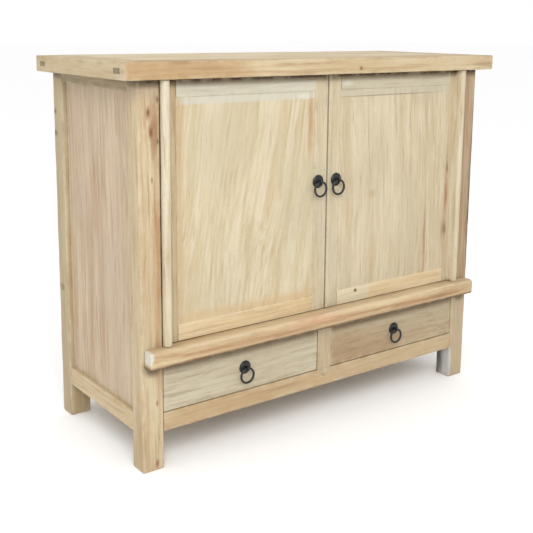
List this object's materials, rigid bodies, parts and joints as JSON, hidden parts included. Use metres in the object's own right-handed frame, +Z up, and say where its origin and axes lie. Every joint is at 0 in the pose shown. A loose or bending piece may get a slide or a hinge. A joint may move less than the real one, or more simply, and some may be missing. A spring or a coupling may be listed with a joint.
{
  "type": "sideboard",
  "caption": "Low wooden sideboard with a framed overhanging top, a pair of pivot doors over side-by-side drawers, a proud sill rail, square legs and iron ring pulls.",
  "frame": {"origin": "on the floor, under the middle of the overall box", "axes": "+X to the viewer's right along the front, +Y towards the back, +Z up"},
  "size_m": [1.104, 0.456, 0.9],
  "materials": {
    "top_wood": "oiled pale elm, fine horizontal grain",
    "frame_wood": "oiled pale elm, grain along each member",
    "panel_wood": "oiled pale elm, broad vertical grain",
    "side_wood": "oiled pale elm, slightly pink",
    "sill_wood": "oiled elm, warmer tone",
    "drawer_wood": "oiled elm, grey-beige with horizontal grain",
    "inner_wood": "plain unfinished elm",
    "iron": "blackened, worn"
  },
  "bodies": {
    "carcass": {"cabinet_floor": "inner_wood", "door_sill_rail": "sill_wood", "drawer_guides": "inner_wood", "drawer_muntin": "frame_wood", "drawer_runners": "inner_wood", "floor_bearers": "inner_wood", "front_left_post": "frame_wood", "front_lower_rail": "sill_wood", "front_right_post": "frame_wood", "front_top_rail": "frame_wood", "left_side_bottom_rail": "frame_wood", "left_side_panel": "side_wood", "left_side_top_rail": "frame_wood", "lower_back_panel": "inner_wood", "rear_left_post": "frame_wood", "rear_lower_rail": "frame_wood", "rear_middle_rail": "frame_wood", "rear_right_post": "frame_wood", "rear_top_rail": "frame_wood", "right_side_bottom_rail": "frame_wood", "right_side_panel": "side_wood", "right_side_top_rail": "frame_wood", "shelf": "inner_wood", "shelf_bearers": "inner_wood", "top_back_rail": "top_wood", "top_battens": "inner_wood", "top_front_rail": "top_wood", "top_left_end": "top_wood", "top_panel": "top_wood", "top_right_end": "top_wood", "upper_back_panel": "inner_wood"},
    "left_door": {"left_door_bottom_rail": "frame_wood", "left_door_meeting_stile": "frame_wood", "left_door_panel": "panel_wood", "left_door_pivot_stile": "frame_wood", "left_door_pull_boss": "iron", "left_door_top_rail": "frame_wood"},
    "left_door_ring": {"left_door_pull_ring": "iron"},
    "left_drawer": {"left_drawer_back": "inner_wood", "left_drawer_bottom": "inner_wood", "left_drawer_front": "drawer_wood", "left_drawer_inner_side": "inner_wood", "left_drawer_outer_side": "inner_wood", "left_drawer_pull_boss": "iron"},
    "left_drawer_ring": {"left_drawer_pull_ring": "iron"},
    "right_door": {"right_door_bottom_rail": "frame_wood", "right_door_meeting_stile": "frame_wood", "right_door_panel": "panel_wood", "right_door_pivot_stile": "frame_wood", "right_door_pull_boss": "iron", "right_door_top_rail": "frame_wood"},
    "right_door_ring": {"right_door_pull_ring": "iron"},
    "right_drawer": {"right_drawer_back": "inner_wood", "right_drawer_bottom": "inner_wood", "right_drawer_front": "drawer_wood", "right_drawer_inner_side": "inner_wood", "right_drawer_outer_side": "inner_wood", "right_drawer_pull_boss": "iron"},
    "right_drawer_ring": {"right_drawer_pull_ring": "iron"}
  },
  "joints": [
    {"name": "left_door_swing", "type": "hinge", "parent": "carcass", "child": "left_door", "pos_m": [-0.4525, -0.20299, 0.5735], "axis": [0, 0, -1], "range_deg": [0, 170]},
    {"name": "left_drawer_slide", "type": "slide", "parent": "carcass", "child": "left_drawer", "axis": [0, -1, 0], "range_m": [0, 0.25]},
    {"name": "left_door_ring_swing", "type": "hinge", "parent": "left_door", "child": "left_door_ring", "pos_m": [-0.028, -0.2038, 0.607], "axis": [-1, 0, 0], "range_deg": [-10, 120]},
    {"name": "left_drawer_ring_swing", "type": "hinge", "parent": "left_drawer", "child": "left_drawer_ring", "pos_m": [-0.24025, -0.2048, 0.1865], "axis": [-1, 0, 0], "range_deg": [-10, 120]},
    {"name": "right_door_swing", "type": "hinge", "parent": "carcass", "child": "right_door", "pos_m": [0.4525, -0.20299, 0.5735], "axis": [0, 0, 1], "range_deg": [0, 170]},
    {"name": "right_drawer_slide", "type": "slide", "parent": "carcass", "child": "right_drawer", "axis": [0, -1, 0], "range_m": [0, 0.25]},
    {"name": "right_door_ring_swing", "type": "hinge", "parent": "right_door", "child": "right_door_ring", "pos_m": [0.028, -0.2038, 0.607], "axis": [-1, 0, 0], "range_deg": [-10, 120]},
    {"name": "right_drawer_ring_swing", "type": "hinge", "parent": "right_drawer", "child": "right_drawer_ring", "pos_m": [0.24025, -0.2048, 0.1865], "axis": [-1, 0, 0], "range_deg": [-10, 120]}
  ]
}
